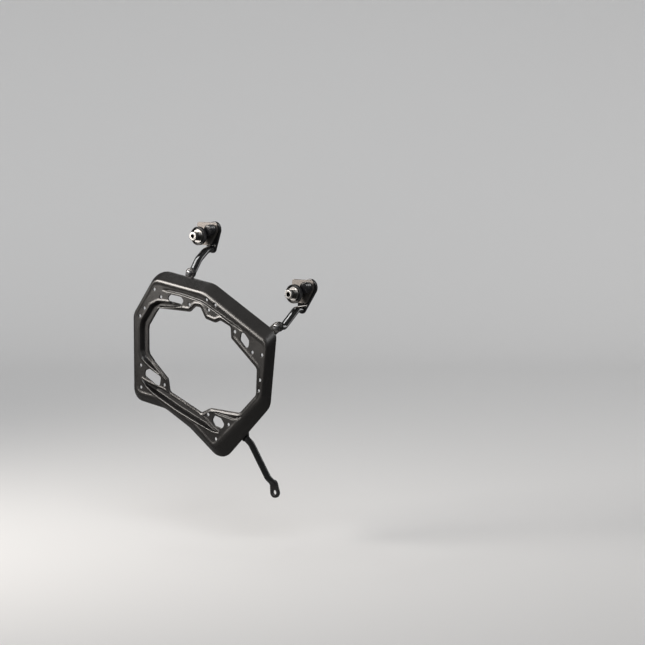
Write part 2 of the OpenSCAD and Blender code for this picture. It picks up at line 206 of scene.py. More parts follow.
def softCorners(profile, radius, steps=4, closed=False):  # rounds each corner of a lathe profile
    pts = [np.array(p, float) for p in profile]
    n, out = len(pts), []
    for k, b in enumerate(pts):
        a, c = pts[k - 1], pts[(k + 1) % n]
        half = math.acos(np.clip(unit(a - b) @ unit(c - b), -1, 1)) / 2
        if (not closed and k in (0, n - 1)) or half > math.radians(86):
            out.append(b)
            continue
        room = min(np.linalg.norm(a - b), np.linalg.norm(c - b)) * 0.45
        out += cornerArc(a, b, c, min(radius, room * math.tan(half)), steps)
    return out


def plate(outline, holes, y0, y1, edge=0.8, steps=3):  # flat plate with softly rounded edges
    loops = [counterclockwise(np.asarray(outline, float))]
    loops += [counterclockwise(np.asarray(h, float))[::-1] for h in holes]
    levels = [(edge * (1 - math.sin(t)), y0 + edge * (1 - math.cos(t)))
              for t in [0.5 * math.pi * i / steps for i in range(steps + 1)]]
    levels += [(i, y1 - (y - y0)) for i, y in levels[::-1]]
    points, faces, tops, bottoms = [], [], [], []
    for loop in loops:
        side, n, start = sidewaysOf(loop), len(loop), len(points)
        for inset, y in levels:
            points += [[p[0], y, p[1]] for p in loop + side * inset]
        faces += bands(len(levels), n, start)
        bottoms.append(list(range(start, start + n)))
        tops.append(list(range(len(points) - n, len(points))))
    points = np.array(points)
    for caps in (bottoms, tops):
        ids = [i for loop in caps for i in loop]
        local = {i: k for k, i in enumerate(ids)}
        tri = triangles(points[ids][:, [0, 2]], [[local[i] for i in loop] for loop in caps])
        faces += [[ids[i] for i in t] for t in tri]
    return points, faces


def snakeCase(name):  # the nodes are named as here, but as in rear_bolt for rearBolt
    return "".join("_" + c.lower() if c.isupper() else c for c in name)


def store(mesh, name, values):
    mesh.attributes.new(name, "FLOAT", "POINT").data.foreach_set("value", values.astype(np.float32))


def newObject(name, data, place=(0, 0, 0), way=None):  # a lamp or the camera looks along its way
    item = bpy.data.objects.new(name, data)
    item.location = place
    if way is not None:
        item.rotation_euler = way.to_track_quat("-Z", "Y").to_euler()
    scene.collection.objects.link(item)
    return item


def makeObject(name, shape, finish, axis=None, socket=None, shadeOf=None, nodes=None, even=True):
    slotName = finishes[finish].get("slot", snakeCase(finish))
    nodes = nodes or [snakeCase(name)]
    points, faces = shape
    mesh = bpy.data.meshes.new(name)
    mesh.from_pydata([tuple(p * mm) for p in np.asarray(points, float)], [],
                     [list(map(int, f)) for f in faces])
    work = bmesh.new()
    work.from_mesh(mesh)
    bmesh.ops.remove_doubles(work, verts=work.verts, dist=2e-7)
    bmesh.ops.recalc_face_normals(work, faces=work.faces)
    for face in work.faces:
        face.smooth = True
    for line in work.edges:
        line.smooth = len(line.link_faces) != 2 or line.calc_face_angle() < math.radians(38)
    work.to_mesh(mesh)
    work.free()
    at = np.array([v.co for v in mesh.vertices]) / mm
    # painted shade: shadeOf gives each point a 'deep' value, which darkens its tone
    if shadeOf is not None:
        store(mesh, "deep", shadeOf(at))
    if axis is not None:  # distance along the turned profile, for turning marks
        brushed = isinstance(axis, str)
        lay = at[:, 0] if brushed else np.hypot(at[:, 0] - axis[0], at[:, 2] - axis[1]) - at[:, 1]
        store(mesh, "lay", lay * mm)
    if socket:  # 1 in the socket's depth, where the tone is darkened as painted shade
        centre, radius, y0, y1 = socket
        away = np.hypot(at[:, 0] - centre[0], at[:, 2] - centre[1])
        store(mesh, "deep", (away < radius) & (at[:, 1] > y0) & (at[:, 1] < y1))
    mesh.materials.append(materials[finish])
    piece = newObject(name, mesh)
    if even:
        piece.modifiers.new("evenNormals", "WEIGHTED_NORMAL").keep_sharp = True
    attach(piece, "root")
    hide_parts(*nodes)
    return piece


def ringOf(profile, centre, soft=0.4, segments=72):  # turned ring from a closed profile
    loop = softCorners(profile, soft, closed=True)
    return lathe(loop + [loop[0]], centre, segments)


def wavy(levels, radius, centre, segments):  # rows at [y, u]; radius(angle, y, u); closed at both ends
    points = [[centre[0] + radius(a, y, u) * math.cos(a), y, centre[1] + radius(a, y, u) * math.sin(a)]
              for y, u in levels for a in roundAngles(segments)]
    return np.array(points), bands(len(levels), segments)


def thread(centre, y0, y1, radius, pitch=1.25, segments=40):
    steps = int((y1 - y0) / pitch * 9)
    deep = 0.55 * pitch

    def outline(a, y, u):
        wave = abs(((y / pitch - a / (2 * math.pi)) % 1) * 2 - 1)
        cutBack = deep * min(1, max(0, (wave - 0.12) / 0.7))
        return u * (radius - max(cutBack, 1.1 - (y1 - y)))
    rows = [(y0, 0.0)] + [(y0 + (y1 - y0) * i / steps, 1.0) for i in range(steps + 1)] + [(y1, 0.0)]
    return wavy(rows, outline, centre, segments)


def hexNut(centre, acrossFlats, bore, y0, y1):
    flat, high = acrossFlats / 2, acrossFlats * 0.075

    def outline(a, y, u):
        if u < 0:
            return bore
        side = flat / math.cos((a + math.pi / 6) % (math.pi / 3) - math.pi / 6)
        return min(side, flat * 0.96 + u * 3)
    rows = [(y0, 0.0), (y0 + high * 0.3, 0.1), (y0 + high * 0.6, 0.24), (y0 + high, 0.6)]
    rows = [(y0, -1)] + rows + [(y0 + y1 - y, u) for y, u in rows[::-1]] + [(y1, -1), (y0, -1)]
    return wavy(rows, outline, centre, 72)


def socketFace(centre, rim, acrossFlats, y, depth, step=0.25):  # ring-shaped face round a hexagon socket
    outer = circle(centre, rim, 72)
    hexes = [(hexagon(centre, acrossFlats + 2 * step), y), (hexagon(centre, acrossFlats), y + step),
             (hexagon(centre, acrossFlats), y + depth)]
    flat = np.vstack([outer, hexes[0][0]])
    faces = triangles(flat, [range(72), range(72, 78)]).tolist()
    points = [[p[0], y, p[1]] for p in flat]
    for loop, level in hexes[1:]:
        start = len(points)
        points += [[p[0], level, p[1]] for p in loop]
        faces += bands(2, 6, start - 6)
    points.append([centre[0], y + depth * 1.12, centre[1]])
    last = len(points) - 1
    faces += [[last - 6 + i, last - 6 + (i + 1) % 6, last] for i in range(6)]
    return np.array(points), faces


def sweep(rows):  # surface through rows of points, each row one closed section
    n, points = len(rows[0]), np.vstack(rows)
    ends = [list(range(n)), list(range(len(points) - n, len(points)))]
    return points, bands(len(rows), n) + ends


def boxSection(width, height, corner, steps=6):  # rounded rectangle as [across, up]
    w, h = width / 2, height / 2
    return rounded([(-w, -h, corner), (w, -h, corner), (w, h, corner), (-w, h, corner)], steps)


# Shader node groups

def fill(tree, node, values):  # outputs of other nodes are linked, plain values are set
    for label, value in values.items():
        if isinstance(value, bpy.types.NodeSocket):
            tree.links.new(value, node.inputs[label])
        else:
            node.inputs[label].default_value = value


def newNode(tree, kind, values, **settings):
    node = tree.nodes.new("ShaderNode" + kind)
    for key, value in settings.items():
        setattr(node, key, value)
    fill(tree, node, values)
    return node


def newGroup(name, grainName, grain, roughness):
    group = bpy.data.node_groups.new(name, "ShaderNodeTree")
    for label, value in ((grainName, grain), ("Roughness", roughness)):
        socket = group.interface.new_socket(label, in_out="INPUT", socket_type="NodeSocketFloat")
        socket.default_value = value
    for label in ("Height", "Roughness", "Tone"):
        group.interface.new_socket(label, in_out="OUTPUT", socket_type="NodeSocketFloat")
    given, out = group.nodes.new("NodeGroupInput"), group.nodes.new("NodeGroupOutput")

    def send(height, spread, tone):
        rough = maths(group, "ADD", given.outputs["Roughness"], spread)
        fill(group, out, {"Height": height, "Roughness": rough, "Tone": tone})
    return group, given.outputs[grainName], send


def attribute(tree, name):
    return newNode(tree, "Attribute", {}, attribute_name=name).outputs["Fac"]


def objectSpace(tree):
    return newNode(tree, "TexCoord", {}).outputs["Object"]


def noise(tree, vector, scale, detail=2.0, roughness=0.5):
    values = {"Vector": vector, "Scale": scale, "Detail": detail, "Roughness": roughness}
    return newNode(tree, "TexNoise", values).outputs["Fac"]


def maths(tree, kind, a, b):
    return newNode(tree, "Math", {0: a, 1: b}, operation=kind).outputs[0]


def remap(tree, value, low, high):  # 0..1 to low..high
    return maths(tree, "ADD", maths(tree, "MULTIPLY", value, high - low), low)


def byRay(tree, kind, otherwise, then):  # one value for rays of a kind, another for the rest
    return remap(tree, newNode(tree, "LightPath", {}).outputs[kind], otherwise, then)


def powderGroup():  # orange peel and fine specks of a powder coat, and painted shade where 'deep' is 1
    group, grain, send = newGroup("powderGrain", "Peel", 700.0, 0.4)
    where, deep = objectSpace(group), attribute(group, "deep")
    peel = noise(group, where, grain, 1.5, 0.45)
    speck = noise(group, where, maths(group, "MULTIPLY", grain, 4.3), 1.0)
    cloud = noise(group, where, 14.0, 3.0, 0.55)

    def withSpecks(value):
        larger = maths(group, "MULTIPLY", value, 0.7)
        return maths(group, "ADD", larger, maths(group, "MULTIPLY", speck, 0.3))

    spread = maths(group, "ADD", remap(group, cloud, -0.09, 0.09), remap(group, speck, -0.05, 0.05))
    spread = maths(group, "ADD", spread, maths(group, "MULTIPLY", deep, 0.1))
    mottle = remap(group, withSpecks(cloud), 0.82, 1.18)
    # painted shade: the tone falls to 0.12 where 'deep' is 1, on the beads' floors
    send(withSpecks(peel), spread, maths(group, "MULTIPLY", mottle, remap(group, deep, 1.0, 0.12)))
    return group


def turnedGroup():  # fine lines that a lathe or a brush leaves, and painted shade where 'deep' is 1
    group, grain, send = newGroup("turnedLines", "Lines", 5000.0, 0.2)
    join = newNode(group, "CombineXYZ", {"X": maths(group, "MULTIPLY", attribute(group, "lay"), grain)})
    lines = noise(group, join.outputs[0], 1.0, 3.0, 0.6)
    smear = noise(group, objectSpace(group), 90.0, 3.0, 0.6)
    spread = maths(group, "ADD", remap(group, lines, -0.05, 0.05), remap(group, smear, -0.06, 0.08))
    tone = maths(group, "MULTIPLY", remap(group, smear, 0.85, 1.12), remap(group, lines, 0.86, 1.14))
    # painted shade: the tone falls to a tenth in a socket's depth
    shade = remap(group, attribute(group, "deep"), 1.0, 0.1)
    send(lines, spread, maths(group, "MULTIPLY", tone, shade))
    return group


def mouldedGroup():  # fine grain and slight sink marks of a moulding
    group, grain, send = newGroup("mouldedGrain", "Grain", 1500.0, 0.35)
    where = objectSpace(group)
    dust = noise(group, where, 160.0, 4.0, 0.65)
    send(noise(group, where, grain, 2.0, 0.6), remap(group, dust, -0.08, 0.1), remap(group, dust, 0.8, 1.25))
    return group


groups = {"powder": powderGroup(), "turned": turnedGroup(), "moulded": mouldedGroup()}
print("node groups made")


def makeMaterial(name, values):
    material = bpy.data.materials.new(name)
    material.use_nodes = True
    tree = material.node_tree
    effect = newNode(tree, "Group", {0: values["grain"], "Roughness": values["roughness"]},
                     node_tree=groups[values["group"]])
    tint = newNode(tree, "Mix", {"Factor": 1.0, "A": (*values["colour"], 1), "B": effect.outputs["Tone"]},
                   data_type="RGBA", blend_type="MULTIPLY")
    bump = newNode(tree, "Bump", {"Strength": values.get("bump", 0.1), "Height": effect.outputs["Height"],
                                  "Distance": values.get("bumpDepth", 0.00005)})
    fill(tree, tree.nodes["Principled BSDF"], {
        "Base Color": tint.outputs["Result"], "Roughness": effect.outputs["Roughness"],
        "Normal": bump.outputs["Normal"], "Metallic": values.get("metallic", 0.0), "IOR": 1.5,
        "Coat Weight": values.get("coat", 0.0), "Coat Roughness": values.get("coatRoughness", 0.1)})
    return material


finishes = {
    "satinBlack": {"group": "powder", "grain": 650.0, "colour": (0.0098, 0.0092, 0.0088), "roughness": 0.29,
                   "bump": 0.12, "bumpDepth": 0.0003, "coat": 0.3, "coatRoughness": 0.24},
    "glossBlack": {"group": "powder", "grain": 350.0, "colour": (0.007, 0.007, 0.0075), "roughness": 0.13,
                   "bump": 0.12, "bumpDepth": 0.0002, "coat": 0.7, "coatRoughness": 0.06},
    "nickel": {"group": "turned", "grain": 6000.0, "colour": (0.4, 0.394, 0.384), "roughness": 0.24,
               "metallic": 1.0},
    "nickelSatin": {"group": "turned", "grain": 6000.0, "colour": (0.3, 0.296, 0.29), "roughness": 0.3,
                    "metallic": 1.0, "slot": "nickel"},
    "bareZinc": {"group": "turned", "grain": 3000.0, "colour": (0.165, 0.153, 0.144), "roughness": 0.45,
                 "bump": 0.15, "bumpDepth": 0.00008, "metallic": 0.85},
    "rubberBlack": {"group": "moulded", "grain": 2200.0, "colour": (0.018, 0.018, 0.019), "roughness": 0.5,
                    "bump": 0.2, "bumpDepth": 0.0002},
    "blackZinc": {"group": "turned", "grain": 4000.0, "colour": (0.26, 0.26, 0.265), "roughness": 0.17,
                  "metallic": 0.9},
    "knobBlack": {"group": "moulded", "grain": 1500.0, "colour": (0.008, 0.008, 0.009), "roughness": 0.08,
                  "bumpDepth": 0.0001, "coat": 0.5, "coatRoughness": 0.05},
}
materials = {name: makeMaterial(name, values) for name, values in finishes.items()}
print("materials made")


# Carrier ring: one pressed sheet, worked out as a depth over its outline

ring = {
    "sheet": 3.0,
    "faceEdge": [(-153, -65, 16), (-153, 80, 20), (-106, 144, 14), (12, 126, 60), (158, 46, 16),
                 (146, -50, 24), (36, -148, 12), (-12, -112, 50), (-100, -72, 50)],
    "skirtEdge": [(-170, -80, 24), (-170, 78, 26), (-106, 165, 50), (28, 145, 60), (172, 66, 18),
                  (157, -67, 30), (45, -178, 34), (-33, -122, 60), (-92, -92, 50)],
    "opening": [(-122, 8, 6), (-122, 60, 6), (-97, 94, 6), (-20, 92, 5), (-7, 102.5, 5), (5, 102, 5),
                (17, 82, 8), (40, 76, 8), (52, 81, 6), (76, 71, 6), (77, 51, 5), (136, 1, 10),
                (134, -46, 10), (96, -82, 14), (28, -79, 10), (6, -89, 8), (-70, -57, 8), (-74, -34, 8)],
    "slots": [[(-75, 114, 5), (-66, 121, 5), (-41, 118, 5), (-33, 111, 5), (-42, 103, 5), (-66, 105, 5)],
              [(101, 64, 4), (109, 61, 5), (119, 50, 5), (118, 38, 5), (111, 36, 4), (98, 49, 5)],
              [(-130, -23, 5), (-119, -19, 5), (-91, -32, 5), (-94, -48, 5), (-101, -49, 5), (-131, -33, 5)],
              [(32, -101, 5), (37, -91, 5), (53, -95, 5), (61, -106, 5), (55, -114, 5), (38, -110, 5)]],
    "holes": [(-106, 128), (-90, 115), (-131, 92), (-142, 77), (-21, 105), (20, 116), (25, 98),
              (41, 108), (86, 63), (126, 29), (148, 26), (143, -19), (140, -38), (-141, -14),
              (-141, -55), (-83, -46), (22, -91), (70, -105), (40, -134)],
    "holeRadius": 3.2,
    # beads: stations of x, z and half width, then the depth
    "channel": ([(-42, 102, 1), (-62, 101.5, 5), (-96, 100, 7), (-110, 92, 8.5), (-131, 64, 9),
                 (-133, 54, 9), (-133, 14, 9), (-130, 4, 8.5), (-116, -9, 6), (-96, -25, 1)], 8.0),
    "spindle": ([(-137, -40, 0.8), (-126, -48, 4), (-108, -56, 7.5), (-88, -63.5, 9.5), (-46, -81.5, 10.5),
                 (-10, -96, 9.5), (12, -106, 7.5), (32, -117, 3.5), (46, -121, 0.8)], 9.5),
    "topRib": ([(-84, 128, 0.8), (-70, 127.5, 3), (-38, 124, 3.5), (8, 114.5, 3.5), (26, 106, 3.3),
                (70, 84, 3.5), (92, 73, 3), (104, 66, 0.8)], 2.5),
    "cornerRib": ([(38, -85.5, 0.8), (48, -87, 2.5), (80, -93, 3), (92, -91, 2.5), (100, -87, 0.8)], 2.5),
    "floors": {"channel": 0.45, "spindle": 0.4, "topRib": 0.15, "cornerRib": 0.15},  # flat shares
    "rimmed": ("channel", "spindle"),  # beads with a raised line beside them
    "roll": 0.3,  # share of the skirt's width that the rolled edge takes
    "flare": 19.0,  # mean width of the skirt, seen from the face
    "lipWidth": 2.2, "lipRoll": 2.6, "lipDepth": 1.2,  # joggled lip round the opening
    "ridge": 0.5, "ridgeAt": 1.0, "ridgeWidth": 3.4,  # soft raised line beside each bead and edge
    "edge": 0.55,  # rounding of the cut edges
    # distances between the points of the skirt, of each kind of cut, of the beads and of the grids
    "rimStep": 2.6, "openingStep": 1.6, "slotStep": 1.2, "beadStep": 1.3, "fineGrid": 1.5, "grid": 2.6,
}


def stationSamples(stations, spacing=0.3, blur=5.0):  # a smooth path through a bead's stations
    pts = resampled(np.array(stations, float), spacing, closed=False)
    width = int(blur / spacing) | 1
    pad = np.vstack([np.repeat(pts[:1], width, axis=0), pts, np.repeat(pts[-1:], width, axis=0)])
    kernel = np.hanning(width + 2)[1:-1]
    kernel /= kernel.sum()
    soft = np.column_stack([np.convolve(pad[:, i], kernel, mode="same")[width:-width] for i in range(3)])
    soft[0], soft[-1] = pts[0], pts[-1]
    return soft


def unitRows(rows):
    return rows / np.linalg.norm(rows, axis=1)[:, None]


def smoothStep(t):
    t = np.clip(t, 0, 1)
    return t * t * (3 - 2 * t)


beadPaths = {name: stationSamples(ring[name][0]) for name in ("channel", "spindle", "topRib", "cornerRib")}


def beadDepth(points, name, edgeAt=1.03):  # and how far each point is beyond the bead
    path, depth, flatTo = beadPaths[name], ring[name][1], ring["floors"][name]
    out, beyond = np.zeros(len(points)), np.zeros(len(points))
    for start in range(0, len(points), 4000):  # in parts, to save memory
        now = slice(start, start + 4000)
        part = points[now]
        gap = np.linalg.norm(part[:, None] - path[None, :, :2], axis=2)
        near = gap.argmin(axis=1)
        half = path[near, 2]
        share = gap[np.arange(len(part)), near] / half
        deep = depth * np.minimum(1, half / path[:, 2].max() * 1.4)
        t = np.clip((share - flatTo) / (edgeAt - flatTo), 0, 1)
        out[now] = deep * (1 - 0.4 * t - 0.6 * smoothStep(t))
        beyond[now] = (share - 1) * half
    return out, beyond


def rimSlope(share):
    roll = ring["roll"]
    return min(max(share, 0), roll) / roll / (1 - roll / 2)


def rimDepth(share, skirt):
    roll = ring["roll"]
    if share <= 0:
        return 0.0
    return skirt * rimSlope(share) * (share / 2 if share < roll else share - roll / 2)


def makeRing():
    faceY, skirt = places["ringFace"], places["skirtEdge"] - places["ringFace"]
    sheet, flare = ring["sheet"], ring["flare"]

    # Rim: rows of points from the flat face over the rolled edge and down the skirt
    rimA, rimB = rounded(ring["faceEdge"]), rounded(ring["skirtEdge"])
    pairs = resampled(np.hstack([rimA, rimB]), ring["rimStep"])
    shares = [-0.12, 0, 0.05, 0.1, 0.15, 0.2, 0.25, 0.3, 0.36, 0.45, 0.6, 0.75, 0.9, 0.96, 1.0]
    points, front, back = [], [], []

    def slopeAngle(share):
        return math.atan(skirt * rimSlope(share) / flare)

    last = 1 - sheet * math.cos(slopeAngle(1)) / (skirt * rimSlope(1))
    for share in shares:
        drop = rimDepth(share, skirt)
        q = share * last if share > 0 else share
        angle = slopeAngle(q)
        backShare = q - sheet * math.sin(angle) / flare
        for p in pairs:
            a, b = p[:2], p[2:4]
            points.append(a + (b - a) * share)
            front.append(drop)
            x, z = a + (b - a) * backShare
            back.append([x, rimDepth(q, skirt) + sheet * math.cos(angle), z])
    rimCount, perRing = len(points), len(pairs)
    outer = list(range((len(shares) - 1) * perRing, len(shares) * perRing))
    innerRim, rollStart = np.array(points[:perRing]), np.array(points[perRing:2 * perRing])

    # Opening, slots and holes
    cuts = [resampled(rounded(ring["opening"]), ring["openingStep"])]
    cuts += [resampled(rounded(s, 8), ring["slotStep"]) for s in ring["slots"]]
    cuts += [circle(h, ring["holeRadius"], 26) for h in ring["holes"]]
    cuts = [counterclockwise(c) for c in cuts]
    loops = [outer]
    for cut in cuts:
        loops.append(list(range(len(points), len(points) + len(cut))))
        points += list(cut)
    taken = {}  # points so far, by cells of 2 mm

    def cellOf(p):
        return int(p[0] // 2), int(p[1] // 2)

    def tooNear(p, gap):
        i, j = cellOf(p)
        near = [q for a in (i - 1, i, i + 1) for b in (j - 1, j, j + 1) for q in taken.get((a, b), ())]
        return any((q[0] - p[0]) ** 2 + (q[1] - p[1]) ** 2 < gap * gap for q in near)

    for p in points:
        taken.setdefault(cellOf(p), []).append(p)

    # Rows of points beside the cuts and along the beads, then grids over the rest
    edge = ring["edge"]
    lip = [ring["lipWidth"] + share * ring["lipRoll"] for share in (-0.2, 0, 0.25, 0.5, 0.75, 1, 1.3)]
    wanted = []  # points and how far each keeps from those before it
    for k, cut in enumerate(cuts):
        for e in [0.18, edge, 1.2] + (lip if k == 0 else []):
            wanted += [(p, 0.3 if e < 1 else 0.4) for p in cut - sidewaysOf(cut) * e]
    for name, path in beadPaths.items():
        dense = resampled(path, ring["beadStep"], closed=False)
        side = sidewaysOf(dense[:, :2], closed=False)
        for u in (0, 0.15, 0.3, 0.45, 0.6, 0.7, 0.8, 0.9, 0.97, 1.03, 1.12, 1.25):
            for sign in ((1,) if u == 0 else (1, -1)):
                wanted += [(p, 0.33) for p in dense[:, :2] + side * dense[:, 2:] * u * sign]
    lipEnd = ring["lipWidth"] + ring["lipRoll"]
    openingSamples, rollSamples = resampled(cuts[0], 0.15), resampled(rollStart, 0.2)

    def pressing(places2d):  # depth pressed into the face, and how much of a ridge is there
        deepest, raised = np.zeros(len(places2d)), np.zeros(len(places2d))
        for name in beadPaths:
            deep, beyond = beadDepth(places2d, name)
            deepest = np.maximum(deepest, deep)
            if name in ring["rimmed"]:
                ridge = 1 - smoothStep(abs(beyond - ring["ridgeAt"]) / ring["ridgeWidth"])
                raised = np.maximum(raised, ridge)
        toOpening, toRoll = nearest(places2d, openingSamples)[1], nearest(places2d, rollSamples)[1]
        deepest *= smoothStep((toOpening - ring["lipWidth"]) / ring["lipRoll"])
        raised = np.maximum(raised, 1 - smoothStep(abs(toOpening - lipEnd - 0.8) / ring["ridgeWidth"]))
        raised = np.maximum(raised, 1 - smoothStep((toRoll - 1.2) / ring["ridgeWidth"]))
        lipDepth = ring["lipDepth"] * smoothStep((lipEnd - toOpening) / ring["lipRoll"])
        return np.maximum(np.maximum(deepest, lipDepth), ring["ridge"] * (1 - raised)), raised

    low, high = innerRim.min(axis=0), innerRim.max(axis=0)
    for step, gap in ((ring["fineGrid"], 0.9), (ring["grid"], 1.6)):
        grid = np.array([(x, z) for i, z in enumerate(np.arange(low[1], high[1], step * 0.866))
                         for x in np.arange(low[0] + (i % 2) * step / 2, high[0], step)])
        if gap < 1:  # the fine grid is only where a ridge rises or falls
            ridges = pressing(grid)[1]
            grid = grid[(ridges > 0.02) & (ridges < 0.98)]
        wanted += [(p, gap) for p in grid]
    place = np.array([p for p, _ in wanted])
    ok = inside(place, innerRim)
    for cut in cuts:
        near = np.all(np.abs(place - cut.mean(axis=0)) < np.ptp(cut, axis=0) * 0.5 + 1, axis=1)
        ok[near] &= ~inside(place[near], cut)
    for (p, gap), good in zip(wanted, ok):
        if good and not tooNear(p, gap):
            taken.setdefault(cellOf(p), []).append(p)
            points.append(p)
    flat = np.array([list(p) for p in points])
    faces = triangles(flat, loops)
    print("ring outline has", len(flat), "points and", len(faces), "triangles")

    # Depth of each point, and the sheet's back, one thickness away along the softened normals
    cutSamples = np.vstack([resampled(c, 0.25) for c in cuts] + [resampled(flat[outer], 0.4)])
    kept = np.unique(faces)  # points that no triangle uses would have no normal
    renumber = np.full(len(flat), -1)
    renumber[kept] = np.arange(len(kept))
    faces = renumber[faces]
    keptRim = kept[kept < rimCount]
    flat, rimCount = flat[kept], len(keptRim)

    depth = np.concatenate([np.array(front)[keptRim], pressing(flat[rimCount:])[0]])
    body = np.column_stack([flat[:, 0], depth, flat[:, 1]])
    normals = np.zeros_like(body)
    corner = body[faces]
    faceNormals = np.cross(corner[:, 1] - corner[:, 0], corner[:, 2] - corner[:, 0])
    for i in range(3):
        np.add.at(normals, faces[:, i], faceNormals)
    normals = unitRows(normals)
    normals *= np.sign(normals[:, 1].mean())  # now they point inboard
    neighbours = [[] for _ in flat]
    for a, b, c in faces:
        neighbours[a] += [b, c]
        neighbours[b] += [a, c]
        neighbours[c] += [a, b]
    soft = normals.copy()
    for _ in range(3):
        soft = unitRows(np.array([soft[n].mean(axis=0) + soft[i] for i, n in enumerate(neighbours)]))
    rear = body + soft * sheet
    rear[:rimCount] = np.array(back)[keptRim]

    # Both sides draw together near a cut, which rounds its edges; walls then join them
    closest, gap = nearest(flat, cutSamples)
    t = np.clip(1 - gap / edge, 0, 1)
    bite = edge * (1 - np.sqrt(1 - t * t))
    shiftedFront = body + normals * bite[:, None]
    shiftedRear = rear - soft * bite[:, None]
    shiftedRear[:rimCount] = rear[:rimCount]
    count = len(flat)
    middle = np.array([places["ring"][0], faceY, places["ring"][1]])
    allPoints = np.vstack([shiftedFront, shiftedRear]) + middle
    allFaces = faces.tolist() + [[c + count, b + count, a + count] for a, b, c in faces]
    used = dict.fromkeys(e for a, b, c in faces for e in ((a, b), (b, c), (c, a)))
    allFaces += [[b, a, a + count, b + count] for a, b in used if (b, a) not in used]

    def beadShade(at):  # 1 on the beads' floors, where the tone is darkened as painted shade
        return np.where(inside(at[:, [0, 2]] - places["ring"], innerRim),
                        smoothStep((at[:, 1] - faceY - 1.5) / 3), 0)
    piece = makeObject("carrierRing", (allPoints, allFaces), "satinBlack", shadeOf=beadShade,
                       nodes=["carrier_plate"], even=False)

    # Shading of the face follows the slope of the pressing itself, so highlights run clean
    free = flat[rimCount:]
    slopes = [np.mean([(pressing(free + way * r)[0] - pressing(free - way * r)[0]) / (2 * r)
                       for r in (0.5, 0.9, 1.3)], axis=0)
              for way in (np.array([1, 0]), np.array([0, 1]))]
    smooth = unitRows(np.column_stack([slopes[0], -np.ones(len(free)), slopes[1]]))
    mesh = piece.data
    assert len(mesh.vertices) == 2 * count
    normal = np.zeros((2 * count, 3))
    toward = np.zeros((count, 3))  # the way to the nearest cut edge, over which the face rolls
    rolling = (gap > 0.02) & (gap < edge)
    toward[rolling] = np.insert(unitRows((closest - flat)[rolling]), 1, 0, axis=1)
    for loop in loops[1:]:
        ids = renumber[loop]
        toward[ids] = 0
        toward[ids[:, None], [0, 2]] = sidewaysOf(flat[ids]) * np.sign(area(flat[ids]))
    turn = t[rimCount:, None]
    normal[rimCount:count] = smooth * np.sqrt(1 - turn ** 2) + toward[rimCount:] * turn
    corners, onFront = [], []
    for face in mesh.polygons:
        corners += face.vertices
        onFront += [max(face.vertices) < count] * face.loop_total
    mesh.normals_split_custom_set(np.where(np.array(onFront)[:, None], normal[corners], 0).tolist())


makeRing()
print("carrier ring made")


# Lugs with their weld beads, on the back edge of the ring's skirt

lugs = {
    "thick": 4.0, "radius": 9.0, "hole": 3.2, "edge": 0.6,
    "weldRadius": 1.9, "ripple": 0.28, "rippleEvery": 1.5, "weldInset": 1.2, "weldStep": 0.5,
    "weldTaper": 2.2,
    "rear": ("rearFoot", (-0.15, -1), 20.0),
    "front": ("frontFoot", (-1, -0.75), 20.0),
    "strut": ("strutTop", (1, -1), 5.0),
}


def ringPlace(name):
    return np.add(places["ring"], places[name])


def weldBead(at, end, reach):  # rippled bead along the skirt's edge, where the lug crosses it
    v, skirtEdge = lugs, places["skirtEdge"]
    skirt = resampled(rounded(ring["skirtEdge"]), v["weldStep"]) + places["ring"]
    skirt = skirt + sidewaysOf(skirt) * v["weldInset"] * np.sign(area(skirt))
    span = np.linspace(0, 1, 30)[:, None] * np.subtract(end, at) + at
    near = np.array([np.linalg.norm(span - p, axis=1).min() for p in skirt]) < reach
    start = next(i for i in range(len(skirt)) if near[i] and not near[i - 1])
    run = np.roll(skirt, -start, axis=0)[:np.roll(near, -start).argmin()]
    last, rows = len(run) - 1, []
    for i, p in enumerate(run):
        d = unit(run[min(i + 1, last)] - run[max(i - 1, 0)])
        ends = min(1, 0.25 + min(i, last - i) * v["weldStep"] / v["weldTaper"])
        r = v["weldRadius"] * math.sin(math.pi / 2 * ends)
        r += v["ripple"] * math.cos(2 * math.pi * i * v["weldStep"] / v["rippleEvery"])
        rows.append([[p[0] - d[1] * r * math.cos(a), skirtEdge + r * 0.75 * math.sin(a),
                      p[1] + d[0] * r * math.cos(a)] for a in roundAngles(16)])
    return sweep(rows)


def makeLug(name):
    place, toward, length = lugs[name]
    at = ringPlace(place)
    end = at + length * unit(toward)
    outline = roundHull([(*at, lugs["radius"]), (*end, lugs["radius"])])
    y0 = places["skirtEdge"]
    shapes = [plate(outline, [circle(at, lugs["hole"])], y0, y0 + lugs["thick"], lugs["edge"])]
    if name != "strut":
        shapes.append(weldBead(at, end, lugs["radius"] - 0.5))
    makeObject(name + "Lug", merged(*shapes), "satinBlack")


for name in ("rear", "front", "strut"):
    makeLug(name)
print("lugs made")


# Arms: foot pad, bar bent in its own upright plane, head plate

arms = {
    "width": 14.0, "height": 11.0, "corner": 5.0, "padY": (-81.0, -76.0), "padRadius": 9.0,
    "headRadius": 15.0, "boltRadius": 12.0, "headEdge": 1.4, "barHead": 8.5, "screwHole": 3.05,
    "boltHole": 4.2,
    "rear": {"foot": "rearFoot", "bolt": "rearBolt", "barAt": (12, -24),
             "bends": [(0.03, 0.08, 8), (0.3, 0.57, 40), (0.7, 0.95, 40)]},
    "front": {"foot": "frontFoot", "bolt": "frontBolt", "barAt": (-2, -29),
              "bends": [(0.16, -0.06, 10), (0.76, 1, 14)]},
}


